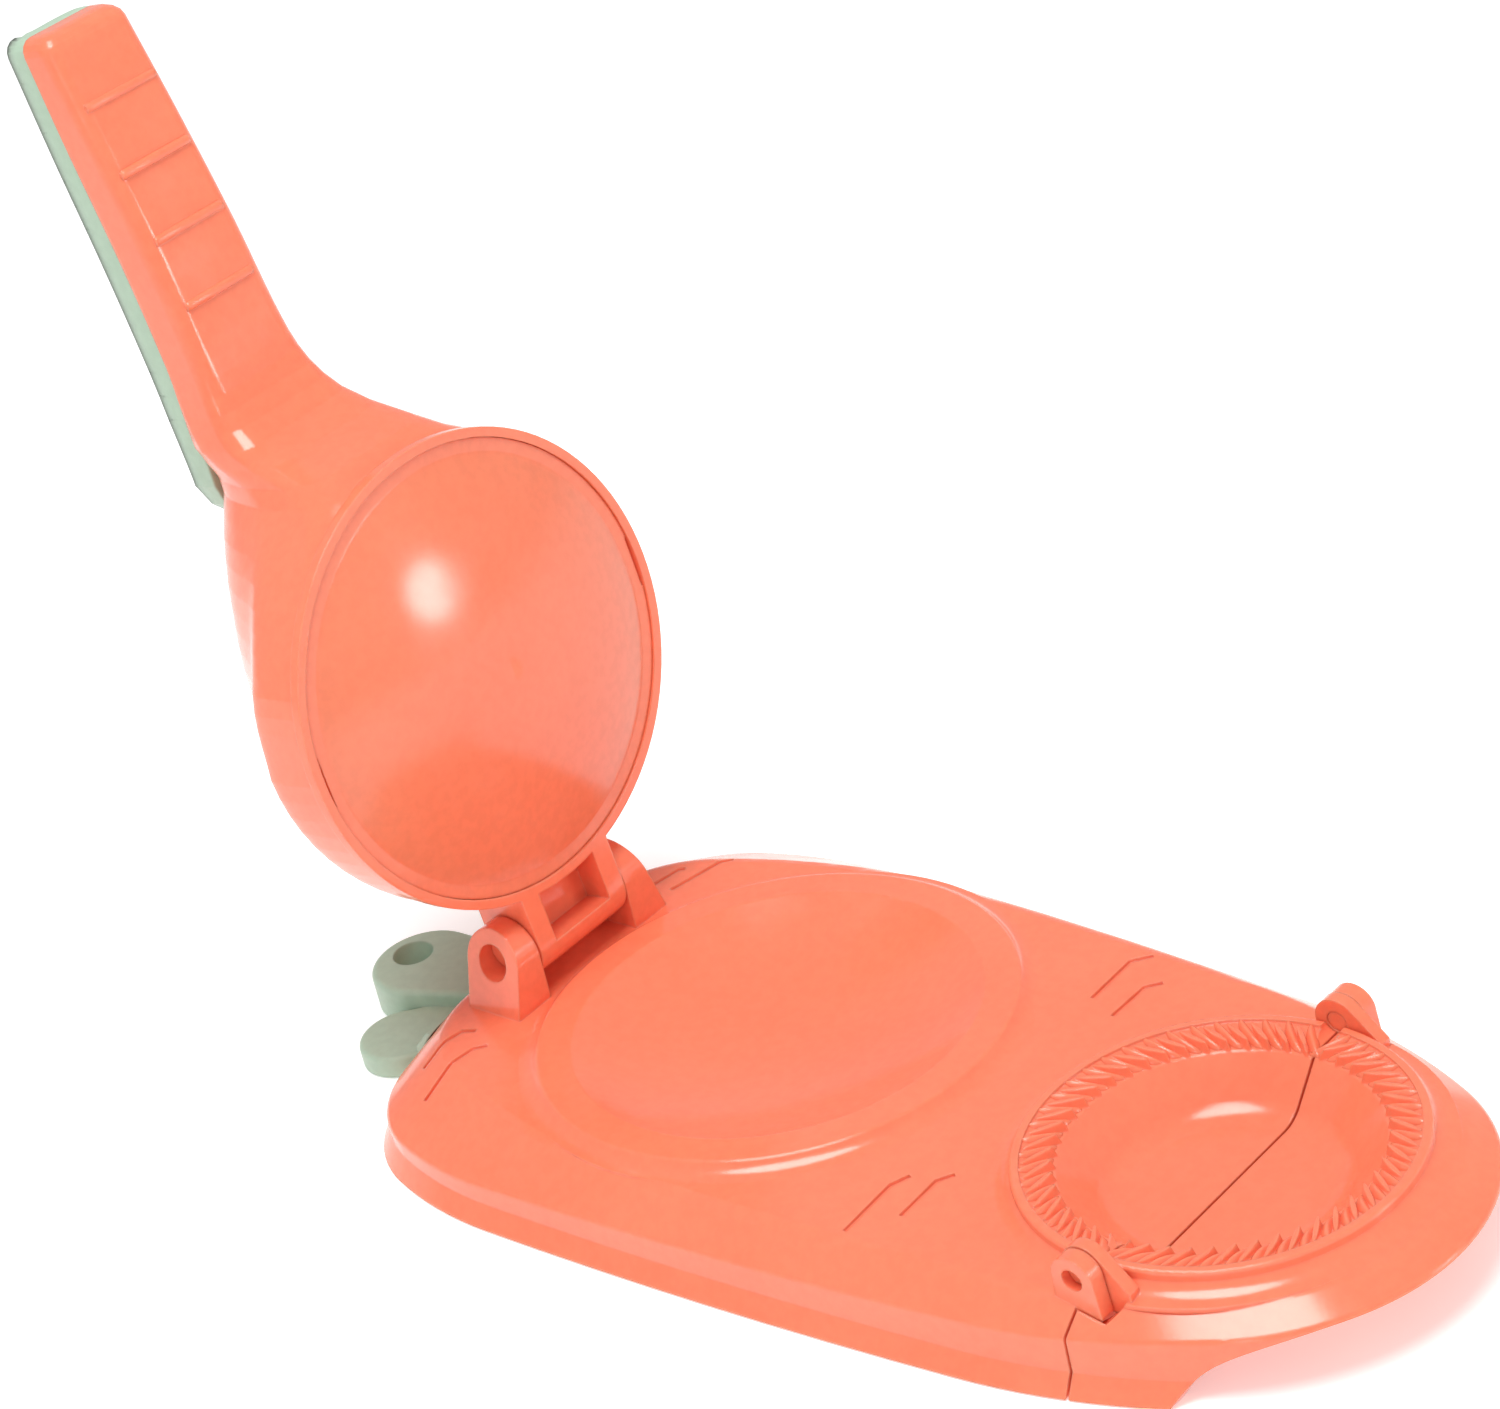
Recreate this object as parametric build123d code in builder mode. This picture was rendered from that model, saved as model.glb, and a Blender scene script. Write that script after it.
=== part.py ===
from build123d import *
import os
from math import asin, atan2, copysign, cos, degrees, hypot, radians, sin, tan

# A two-in-one dumpling press in the shape of a carrot: a round dish with a domed lever
# that presses the wrapper, and a fluted mould that folds in half over a split.
# Millimetres. Origin on the table under the centre of the dish, +X towards the carrot's
# tip, +Z up. The press is shown open: lever leaning back, front flap flat on the table.

os.makedirs("parts", exist_ok=True)

# Walls, gaps and fits
WALL = 2.2          # moulded walls
GAP = 0.3           # least gap between pieces that move past each other
RUNNING_FIT = 0.06  # radial clearance of a turning pin

# Base
DISH_R = 45.5       # recess that takes a wrapper of about 90
DISH_DEPTH = 11.0
RING_WIDTH = 7.5    # flat ring round the recess
RING_HEIGHT = 2.5   # above the deck
RING_FOOT = 4.5     # width of the slope from the ring down to the deck
DECK_Z = 18.3
SHOULDER_DROP = 5.5  # from the deck down to the shoulder, all round
SHOULDER_RUN = 7.0
SHOULDER_ROUND = 1.5
DECK_ROUND = 4.0
TIP_RISE = 2.4      # degrees by which the flap's shoulder rises towards the tip
REAR_FALL = 1.3     # degrees by which the base's shoulder falls towards the rear
BAND_Z = 4.8        # flared band at the foot of the wall
BAND_FLARE = 2.7
REAR_X = -80.5
TIP_X = 171.7
HALF_WIDTH = 66.0   # of the wall at the dish
# Widest point and hip of an outline, each as X and how far it lies inside the half width,
# and the rear. The deck's outline is drawn in at the rear, where its edge falls away.
WALL_LINE = ((-30, 0), (-60, 4.6), REAR_X)
DECK_LINE = ((10, 1.8), (-60, 15.5), REAR_X - 1.5)

# Folding mould
MOULD_X = 116.2     # centre of the mould and line of the split
MOULD_R = 40.0
RIM_WIDTH = 2.0
RIM_FOOT = 5.0
RIM_Z = 22.95
TOOTH_BAND = 7.0    # fluted band inside the rim
TOOTH_DROP = 2.2    # the band's inner edge below its outer one
TEETH = 50
TOOTH_SLANT = 38    # degrees off the radius
TOOTH_WIDTH = 2.9
CAVITY_Z = 10.6     # floor of the mould
CAVITY_FLOOR_R = 23.5
CAVITY_ROUND = 8.0
NOTCH_X = 135.8     # finger notch: its start and its height under the tip
NOTCH_Z = 14.2
SPLIT_GAP = 0.6

# Engraved strokes on the deck: start, bend and end of each
STROKE_WIDTH = 1.2
STROKE_DEPTH = 0.7
STROKES = (
    ((-67.5, -44.2), (-65, -33), (-62.2, -31.6)),
    ((-60, -51.9), (-57.8, -37), (-55.6, -34.8)),
    ((-63.4, 30.1), (-62, 37.4), (-60.7, 38.4)),
    ((-57.9, 30.2), (-54.6, 44), (-52.5, 46.2)),
    ((59.3, 34.2), (58.9, 48.8), (62.3, 52.3)),
    ((67.2, 30.6), (67.4, 42), (70.1, 44.8)),
    ((60.7, -51.8), (59.9, -35.9), (61.7, -31.8)),
    ((68.2, -43), (67.8, -30.8), (70, -27.6)),
)

# Lever
LEVER_X = -62.6     # lever axis, as far from the dish as from the press plate
LEVER_Z = 29.8
LEAN = 8.7          # open lever leans back by this angle
SEAM_AHEAD = 8.1    # plane of the lever's rim in front of the lever axis
PLATE_R = 50.0
HOUSING_R = 52.3
DOME_R = 47.0
DOME_HEIGHT = 9.2
BOWL_DEPTH = 46.0   # at its centre, behind the seam plane
BOWL_TILT = 0.18   # by which the bowl deepens from its lower end towards the neck
BOWL_R = 51.9
BOWL_FLOOR = 7.5    # thickness behind the deepest point of the hollow
HOUSING_LIP = 2.5
# Sections of the lever: distance from its axis, half width, front and back from the seam
# plane, power of the back's curve (2 is an ellipse), radius of the front corners
NECK = (
    (-LEVER_X, BOWL_R, 0, -BOWL_DEPTH, 2.0, 0.8),
    (80, 48.9, 0, -49.2, 2.0, 0.8),
    (95, 39.9, 0, -53.2, 2.05, 1.5),
    (105, 29.2, -1.5, -55.0, 2.2, 5.0),
    (111, 21.4, -4, -54.6, 2.4, 8.0),
    (115, 18.8, -11, -54.2, 2.6, 8.0),
    (118, 17.8, -20, -54.6, 2.8, 7.0),
    (122, 17.0, -29.5, -55.6, 3.1, 6.0),
    (130, 15.0, -36.2, -56.8, 3.6, 4.5),
    (140, 13.6, -38.8, -57.2, 4.0, 3.6),
    (165, 12.8, -41.2, -59.3, 4.0, 3.4),
    (190, 12.4, -45.2, -61.8, 4.0, 3.4),
    (213, 11.9, -49.3, -64.1, 4.0, 3.6),
)
NECK_STEPS = 40
# Sections of the green cover, in the same terms
COVER = (
    (101, 5.0, -56.2, -57.6, 3.0, 0.3),
    (106, 9.5, -54.3, -57.6, 3.5, 0.3),
    (112, 12.2, -52.2, -57.4, 4.0, 0.3),
    (119, 13.1, -50.3, -57.2, 4.0, 0.3),
    (127, 13.4, -49.9, -57.2, 4.0, 0.3),
    (140, 13.1, -50.4, -57.2, 4.0, 0.3),
    (165, 12.4, -53.0, -59.3, 4.0, 0.3),
    (190, 12.0, -55.8, -61.8, 4.0, 0.3),
    (213, 11.5, -58.1, -64.1, 4.0, 0.3),
)
COVER_STEPS = 20
BOWL_STEPS = 18
COLLAR_DEPTH = 6.0
COLLAR_INSET = 0.6
END_ROUND = 3.5     # of the handle's end
GRIP_RIBS = (154, 169, 184.5, 200)  # along the lever, from its axis
RIB_R = 1.0
RIB_HEIGHT = 0.6
RIB_HALF = 10.0
PLATE_THICK = 2.0
PLATE_DROP = 0.6    # plate's land below the rim
PLATE_FIT = 0.1
LEDGE_R = 48.0
LEDGE_DEPTH = 4.0
CLIP_ANGLE = 90     # from the lever's length
CLIP_LENGTH = 12.0
CLIP_WIDTH = 0.8
BLOCK_LENGTH = 18.0
POCKET_HALF = 9.0

# Hinges
EAR_BORE_R = 4.2
EAR_R = 7.8
EAR_INNER_Y = 14.5
EAR_OUTER_Y = 21.7
EAR_FOOT_Y = 25.0
BLOCK_HALF = EAR_INNER_Y - 0.4
TAB_BORE_R = 2.4
TAB_R = 5.0
TAB_INNER_Y = 45.6
TAB_OUTER_Y = 49.3
TAB_FOOT = 10.2     # from the axis down to the tab's foot
FLAP_AXIS_Z = 23.1
FLAP_EAR_R = 5.2

LEVER_PIN_IN = 9.6   # ends of the lever pins, from the middle
LEVER_PIN_OUT = 17.7
FLAP_PIN_OUT = 47.2

# Leaves
LEAF_Z = 9.0        # top of the centre leaf
SIDE_LEAF_Z = 5.0
HANG_R = 4.8
HANG_AT = (-111, -5.3)
CENTRE_LEAF = ((-84, -1.5), (-106.5, -6), 9.0, 12.8)  # root, tip, their radii
SIDE_LEAVES = (((-87, -17), (-95, -27), 10.0), ((-87, 15), (-95, 22), 10.0))
FLANGE_HALF = 33.0
FLANGE_Z = 14.0
FLANGE_THICK = 2.4
FLANGE_LEAN = 5.0   # its top leans forward on the sloping edge of the base
TONGUE_WIDTH = 30.0
TONGUE_THICK = 2.4
TONGUE_Z = 8.5

RING_Z = DECK_Z + RING_HEIGHT
RING_R = DISH_R + RING_WIDTH
RIM_R = MOULD_R + RIM_WIDTH
DISH_SPHERE = (DISH_R**2 + DISH_DEPTH**2) / (2 * DISH_DEPTH)
DISH_FLOOR = RING_Z - DISH_DEPTH
BAND_OUTER_Z = RIM_Z - 0.6
BAND_INNER_Z = BAND_OUTER_Z - TOOTH_DROP
BAND_INNER_R = MOULD_R - TOOTH_BAND

FLAP_PIN_R = TAB_BORE_R - RUNNING_FIT
LEVER_PIN_R = EAR_BORE_R - RUNNING_FIT

MOULD_AXIS = Axis((MOULD_X, 0, 0), (0, 0, 1))
MOULD_SIDE = Plane(origin=(MOULD_X, 0, 0), x_dir=(1, 0, 0), z_dir=(0, -1, 0))
FLAP_AXIS = Plane(origin=(MOULD_X, 0, FLAP_AXIS_Z), x_dir=(1, 0, 0), z_dir=(0, -1, 0))

# Outer face of the near ear of the lever hinge
draft = atan2(EAR_FOOT_Y - EAR_OUTER_Y, LEVER_Z - DECK_Z)
EAR_FACE = Plane(origin=(LEVER_X, -EAR_OUTER_Y, LEVER_Z), x_dir=(1, 0, 0),
                 z_dir=(0, -cos(draft), sin(draft)))

# Lever planes: x runs up the lever from its axis, the seam plane faces the dish when open
UP = Vector(-sin(radians(LEAN)), 0, cos(radians(LEAN)))
FACING = Vector(cos(radians(LEAN)), 0, sin(radians(LEAN)))
LEVER_SIDE = Plane(origin=(LEVER_X, 0, LEVER_Z), x_dir=UP, z_dir=(0, 1, 0))
SEAM = Plane(
    origin=Vector(LEVER_X, 0, LEVER_Z) + UP * -LEVER_X + FACING * SEAM_AHEAD,
    x_dir=UP, z_dir=FACING,
)
LONG_SIDE = Plane(
    origin=Vector(LEVER_X, 0, LEVER_Z) + FACING * SEAM_AHEAD, x_dir=UP, z_dir=(0, 1, 0)
)
SEAM_SIDE = Plane(origin=SEAM.origin, x_dir=UP, z_dir=(0, 1, 0))
PLATE_AXIS = Axis(SEAM.origin, FACING)


def lever_section(along):
    """Plane across the lever at a distance from its axis: x across, y towards the dish."""
    origin = Vector(LEVER_X, 0, LEVER_Z) + UP * along + FACING * SEAM_AHEAD
    return Plane(origin=origin, x_dir=(0, -1, 0), z_dir=UP)


def carrot(grow, line=WALL_LINE):
    """The carrot's outline as a face, grown outwards by a distance: arcs that run smoothly on."""
    (wide_x, wide_in), (hip_x, hip_in), rear_x = line
    with BuildSketch(Plane.XY) as face:
        with BuildLine():
            nose = TangentArc((TIP_X, 0), (TIP_X - 26.7, 43.5), tangent=(0, 1))
            cheek = TangentArc(nose @ 1, (MOULD_X - 24, HALF_WIDTH - 7), tangent=nose % 1)
            side = TangentArc(cheek @ 1, (wide_x, HALF_WIDTH - wide_in), tangent=cheek % 1)
            hip = TangentArc(side @ 1, (hip_x, HALF_WIDTH - hip_in), tangent=side % 1)
            heading = hip % 1
            chord = (atan2(heading.Y, heading.X) + radians(270)) / 2 % radians(360)
            corner_y = (hip @ 1).Y + (rear_x - hip_x) * tan(chord)
            corner = TangentArc(hip @ 1, (rear_x, corner_y), tangent=heading)
            Line(corner @ 1, (rear_x, 0))
            mirror(about=Plane.XZ)
        make_face()
        if grow:
            offset(amount=grow, kind=Kind.ARC)
    return face.sketch


def trimmed(face, x, keep):
    """The part of an outline in front of (TOP) or behind (BOTTOM) a line across the press."""
    with BuildSketch(Plane.XY) as piece:
        add(face)
        split(bisect_by=Plane.YZ.offset(x), keep=keep)
    return piece.sketch


def carrot_body(grow, x, keep, deck_z, rise, rounded=True):
    """Closed half of the carrot with a sloped shoulder, which rises towards the tip."""
    slant = radians(rise)
    shoulder = Plane(
        origin=(MOULD_X, 0, deck_z - SHOULDER_DROP),
        x_dir=(cos(slant), 0, sin(slant)), z_dir=(-sin(slant), 0, cos(slant)),
    )
    with BuildPart() as body:
        with BuildSketch(Plane.XY):
            add(trimmed(carrot(grow), x, keep))
        extrude(amount=deck_z)
        split(bisect_by=shoulder, keep=Keep.BOTTOM)
        level = body.faces().sort_by(Axis.Z)[-1]
        corners = [edge.center() for edge in level.edges()]
        with BuildSketch(Plane.XY.offset(deck_z)) as lid:
            add(trimmed(carrot(grow - SHOULDER_RUN, DECK_LINE), x, keep))
        loft(sections=[level, lid.sketch.faces()[0]], ruled=True)
        if rounded:
            cut = body.faces().sort_by(Axis.X)[-1 if keep == Keep.BOTTOM else 0]
            deck = body.faces().sort_by(Axis.Z)[-1]
            fillet(deck.edges() - cut.edges(), DECK_ROUND)
            outer = body.edges().filter_by(
                lambda edge: min((edge.center() - c).length for c in corners) < 0.1
            )
            fillet(outer.filter_by(lambda edge: abs(edge.center().X - x) > 1), SHOULDER_ROUND)
    return body.part


def foot_band(x, keep):
    """The band round the foot of the wall, which flares out down to the table."""
    with BuildPart() as band:
        with BuildSketch(Plane.XY):
            add(trimmed(carrot(BAND_FLARE), x, keep))
        with BuildSketch(Plane.XY.offset(BAND_Z)):
            add(trimmed(carrot(0), x, keep))
        loft(ruled=True)
    return band.part


# Mould: rim with its sloping foot, cavity with the fluted band, and the teeth
with BuildPart() as mould_form:
    with BuildSketch(MOULD_SIDE):
        with BuildLine():
            foot = RIM_R + RIM_FOOT
            Polyline((RIM_R, DECK_Z + 2.4), (RIM_R, RIM_Z), (0, RIM_Z), (0, DECK_Z - 1),
                     (foot, DECK_Z - 1), (foot, DECK_Z))
            ThreePointArc((foot, DECK_Z), (RIM_R + 0.4 * RIM_FOOT, DECK_Z + 0.75),
                          (RIM_R, DECK_Z + 2.4))
        make_face()
    revolve(axis=MOULD_AXIS)
    fillet(mould_form.edges().filter_by(GeomType.CIRCLE).group_by(Axis.Z)[-1], 0.7)

with BuildPart() as mould_hollow:
    with BuildSketch(MOULD_SIDE) as cavity:
        with BuildLine():
            Polyline((0, RIM_Z + 1), (0, CAVITY_Z), (CAVITY_FLOOR_R, CAVITY_Z),
                     (BAND_INNER_R, BAND_INNER_Z), (MOULD_R, BAND_OUTER_Z),
                     (MOULD_R, RIM_Z + 1), close=True)
        make_face()
        fillet(cavity.vertices().group_by(Axis.Y)[0].sort_by(Axis.X)[-1], CAVITY_ROUND)
        fillet(cavity.vertices().sort_by(lambda corner: abs(corner.Y - BAND_INNER_Z))[0], 0.8)
    revolve(axis=MOULD_AXIS)

with BuildPart() as tooth:
    middle = MOULD_R - TOOTH_BAND / 2
    length = TOOTH_BAND / 2 / cos(radians(TOOTH_SLANT))
    for height, longer, width in ((BAND_INNER_Z - 0.8, 0.4, TOOTH_WIDTH),
                                  (RIM_Z - 0.4, -0.6, TOOTH_WIDTH / 3)):
        with BuildSketch(Plane.XY.offset(height)):
            with Locations((MOULD_X + middle, 0)):
                Ellipse(length + longer, width / 2, rotation=TOOTH_SLANT)
    loft()

with BuildPart() as teeth:
    with Locations((MOULD_X, 0)):
        with PolarLocations(0, TEETH, start_angle=180 / TEETH):
            add(Pos(-MOULD_X, 0, 0) * tooth.part)


def mould_half(x, keep, form):
    """One side of a mould shape, cut along the split."""
    side = Align.MAX if keep == Keep.BOTTOM else Align.MIN
    with BuildPart() as piece:
        add(form.part)
        with Locations((x, 0, 0)):
            Box(3 * RIM_R, 3 * RIM_R, 3 * RIM_R, align=(side, Align.CENTER, Align.CENTER),
                mode=Mode.INTERSECT)
    return piece.part


def underside(x, keep, rise):
    """The hollow under a half, which leaves the walls and the shells of dish and mould."""
    inner_x = x - WALL if keep == Keep.BOTTOM else x + WALL
    slope = (BAND_INNER_R - CAVITY_FLOOR_R) / (BAND_INNER_Z - CAVITY_Z)
    floor_r = CAVITY_FLOOR_R + WALL * (hypot(1, slope) - slope)
    with BuildPart() as hollow:
        add(carrot_body(-WALL, inner_x, keep, DECK_Z - WALL, rise, rounded=False))
        with Locations((0, 0, DISH_FLOOR + DISH_SPHERE)):
            Sphere(DISH_SPHERE + WALL, mode=Mode.SUBTRACT)
        with BuildSketch(MOULD_SIDE):
            with BuildLine():
                Polyline((0, CAVITY_Z - WALL), (floor_r, CAVITY_Z - WALL),
                         (floor_r + slope * DECK_Z, CAVITY_Z - WALL + DECK_Z),
                         (0, CAVITY_Z - WALL + DECK_Z), close=True)
            make_face()
        revolve(axis=MOULD_AXIS, mode=Mode.SUBTRACT)
    return hollow.part


split_rear = MOULD_X - SPLIT_GAP / 2
split_front = MOULD_X + SPLIT_GAP / 2

with BuildPart() as base_body:
    add(carrot_body(0, split_rear, Keep.BOTTOM, DECK_Z, REAR_FALL))
    add(foot_band(split_rear, Keep.BOTTOM))
    # Ring round the dish, with a hollowed slope down to the deck
    with BuildSketch(Plane.XZ):
        with BuildLine():
            foot = RING_R + RING_FOOT
            Polyline((RING_R, RING_Z), (0, RING_Z), (0, DECK_Z - 1), (foot, DECK_Z - 1),
                     (foot, DECK_Z))
            ThreePointArc((foot, DECK_Z), (RING_R + 0.35 * RING_FOOT, DECK_Z + 0.9),
                          (RING_R, RING_Z))
        make_face()
    revolve(axis=Axis.Z)
    fillet(base_body.edges().filter_by(GeomType.CIRCLE)
           .filter_by(lambda edge: abs(edge.radius - RING_R) < 0.01), 0.8)
    add(mould_half(split_rear, Keep.BOTTOM, mould_form))
    add(mould_half(split_rear, Keep.BOTTOM, mould_hollow), mode=Mode.SUBTRACT)
    add(mould_half(split_rear, Keep.BOTTOM, teeth))
    add(underside(split_rear, Keep.BOTTOM, REAR_FALL), mode=Mode.SUBTRACT)
    # Dish
    with BuildSketch(Plane.XZ):
        with BuildLine():
            Polyline((0, DISH_FLOOR), (0, RING_Z + 1), (DISH_R, RING_Z + 1), (DISH_R, RING_Z))
            RadiusArc((DISH_R, RING_Z), (0, DISH_FLOOR), DISH_SPHERE)
        make_face()
    revolve(axis=Axis.Z, mode=Mode.SUBTRACT)
    fillet(base_body.edges().filter_by(GeomType.CIRCLE)
           .filter_by(lambda edge: abs(edge.radius - DISH_R) < 0.01), 0.9)
    # Engraved strokes on the deck
    with BuildPart(mode=Mode.PRIVATE) as engraving:
        with BuildSketch(Plane.XY.offset(DECK_Z + 1)):
            for start, bend, end in STROKES:
                with BuildLine():
                    Polyline(start, bend, end)
                trace(line_width=STROKE_WIDTH)
        extrude(amount=-SHOULDER_DROP - 1)
        add(carrot_body(-STROKE_DEPTH, split_rear, Keep.BOTTOM, DECK_Z - STROKE_DEPTH,
                        REAR_FALL, rounded=False), mode=Mode.SUBTRACT)
    add(engraving, mode=Mode.SUBTRACT)

    # Ears of the lever hinge, with a drafted outer face
    with BuildSketch(Plane.XZ.offset(EAR_INNER_Y)):
        with Locations((LEVER_X, LEVER_Z)):
            Circle(EAR_R)
            Rectangle(2 * EAR_R, LEVER_Z - DECK_Z + 1, align=(Align.CENTER, Align.MAX))
    near_ear = extrude(amount=EAR_FOOT_Y - EAR_INNER_Y, mode=Mode.PRIVATE)
    near_ear = near_ear.split(EAR_FACE, Keep.BOTTOM)
    add(near_ear)
    add(near_ear.mirror(Plane.XZ))
    with Locations(Plane(origin=(LEVER_X, 0, LEVER_Z), z_dir=(0, 1, 0))):
        Cylinder(EAR_BORE_R, 2 * EAR_FOOT_Y, mode=Mode.SUBTRACT)
    # Outer tabs of the flap hinge, which reach past the split
    with BuildSketch(Plane.XZ.offset(TAB_INNER_Y)):
        with Locations((MOULD_X, FLAP_AXIS_Z)):
            Circle(TAB_R)
            Polygon((-TAB_R, 0), (-TAB_R, -8), (0, -TAB_FOOT), (TAB_R + 0.8, -7.6), (TAB_R, 0),
                    align=None)
    near_tab = extrude(amount=TAB_OUTER_Y - TAB_INNER_Y, mode=Mode.PRIVATE)
    add(near_tab)
    add(near_tab.mirror(Plane.XZ))
    with Locations(FLAP_AXIS):
        Cylinder(TAB_BORE_R, 2 * TAB_OUTER_Y + 2, mode=Mode.SUBTRACT)
    # Room for the flap's ears
    for side in (-1, 1):
        with Locations(FLAP_AXIS.offset(side * (RIM_R + TAB_INNER_Y) / 2)):
            Cylinder(FLAP_EAR_R + GAP, TAB_INNER_Y - RIM_R, mode=Mode.SUBTRACT)
    # Slot in the rear wall for the tongue of the leaves
    with Locations((REAR_X, 0, TONGUE_Z)):
        Box(4 * WALL, TONGUE_WIDTH + 0.2, TONGUE_THICK + 0.2, mode=Mode.SUBTRACT)

with BuildPart() as front_flap:
    add(carrot_body(0, split_front, Keep.TOP, DECK_Z, TIP_RISE))
    add(foot_band(split_front, Keep.TOP))
    add(mould_half(split_front, Keep.TOP, mould_form))
    add(mould_half(split_front, Keep.TOP, mould_hollow), mode=Mode.SUBTRACT)
    # The flap's teeth mirror those of the base and meet them when it is folded over
    add(mould_half(split_rear, Keep.BOTTOM, teeth).mirror(Plane.YZ.offset(MOULD_X)))
    add(underside(split_front, Keep.TOP, TIP_RISE), mode=Mode.SUBTRACT)
    # Notch for the fingers under the tip
    with BuildSketch(Plane.XZ):
        with BuildLine():
            notch = Spline((NOTCH_X, 0), (NOTCH_X + 7, 8), (NOTCH_X + 21.5, NOTCH_Z - 0.6),
                           (TIP_X + 3, NOTCH_Z), tangents=((0.6, 1), (1, 0)))
            Polyline(notch @ 1, (TIP_X + 3, -1), (NOTCH_X, -1), (NOTCH_X, 0))
        make_face()
    extrude(amount=2 * HALF_WIDTH, both=True, mode=Mode.SUBTRACT)

    # Inner ears of the hinge, against the outside of the rim
    with BuildSketch(Plane.XZ.offset(RIM_R + GAP)):
        with Locations((MOULD_X, FLAP_AXIS_Z)):
            Circle(FLAP_EAR_R)
            Polygon((0, 0), (3.7, 3.65), (10.3, -2.9), (10.3, -6.1), (0.5, -6.1), align=None)
    near_ear = extrude(amount=TAB_INNER_Y - RIM_R - 2 * GAP, mode=Mode.PRIVATE)
    add(near_ear)
    add(near_ear.mirror(Plane.XZ))
    with Locations(FLAP_AXIS):
        Cylinder(FLAP_PIN_R, 2 * TAB_INNER_Y, mode=Mode.SUBTRACT)
    # Room for the base's tabs
    for side in (-1, 1):
        inner = TAB_INNER_Y - GAP
        outer = TAB_OUTER_Y + GAP
        with Locations(FLAP_AXIS.offset(side * (inner + outer) / 2)):
            Cylinder(TAB_FOOT + GAP, outer - inner, mode=Mode.SUBTRACT)


def across(along, half, front, back, power, corner):
    """Section of the lever: flat towards the dish, with round corners and a domed back."""
    depth = front - corner - back
    with BuildSketch(lever_section(along)) as face:
        with BuildLine():
            points = []
            for step in range(9):
                turn = radians(180 + 22.5 * step)
                points.append((
                    half * copysign(abs(cos(turn)) ** (2 / power), cos(turn)),
                    front - corner - depth * abs(sin(turn)) ** (2 / power),
                ))
            back_curve = Spline(*points, tangents=((0, -1), (0, 1)))
            left = RadiusArc(back_curve @ 1, (half - corner, front), -corner)
            top = Line(left @ 1, (corner - half, front))
            RadiusArc(top @ 1, back_curve @ 0, -corner)
        make_face()
    return face.sketch.faces()[0]


def between(rows, along):
    """The row of a table at a distance along the lever, on smooth curves through its rows."""
    low = max(i for i, row in enumerate(rows[:-1]) if row[0] <= along or i == 0)
    here, there = rows[low], rows[low + 1]
    span = there[0] - here[0]
    part = (along - here[0]) / span
    values = [along]
    for column in range(1, len(here)):
        slopes = []
        for index in (low, low + 1):
            before, after = rows[max(index - 1, 0)], rows[min(index + 1, len(rows) - 1)]
            slopes.append((after[column] - before[column]) / (after[0] - before[0]) * span)
        values.append(
            (2 * part**3 - 3 * part**2 + 1) * here[column]
            + (part**3 - 2 * part**2 + part) * slopes[0]
            + (3 * part**2 - 2 * part**3) * there[column]
            + (part**3 - part**2) * slopes[1]
        )
    return values


def lever_form(rows, steps, first=()):
    """Form through the sections of a table, with a rounded end on the last one."""
    start, stop = rows[0][0], rows[-1][0]
    table = list(first)
    for step in range(steps):
        table.append(between(rows, start + (stop - start) * step / steps))
    along, half, front, back, power, corner = rows[-1]
    slope = (front - rows[-2][2]) / (along - rows[-2][0])
    for step in range(5):
        forward = sin(radians(22.5 * step))
        inwards = 1 - cos(radians(22.5 * step))
        inset = inwards * END_ROUND
        sink = inwards * min(END_ROUND, (front - back) / 4)
        ahead = forward * END_ROUND
        table.append((along + ahead, half - inset, front + slope * ahead - sink,
                      back + slope * ahead + sink, power, corner))
    with BuildPart() as form:
        loft(sections=[across(*row) for row in table], ruled=True)
    return form.part


# Sections of the bowl below its centre, which run on into those of the neck
bowl_rows = []
for step in range(1, BOWL_STEPS):
    turn = radians(90 * step / BOWL_STEPS)
    below = BOWL_R * cos(turn)
    half = BOWL_R * sin(turn)
    depth = (BOWL_DEPTH - BOWL_TILT * below) * sin(turn)
    bowl_rows.append((-LEVER_X - below, half, 0, -depth, 2, min(NECK[0][-1], half / 8)))

with BuildPart() as handle_cover:
    add(lever_form(COVER, COVER_STEPS))

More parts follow.
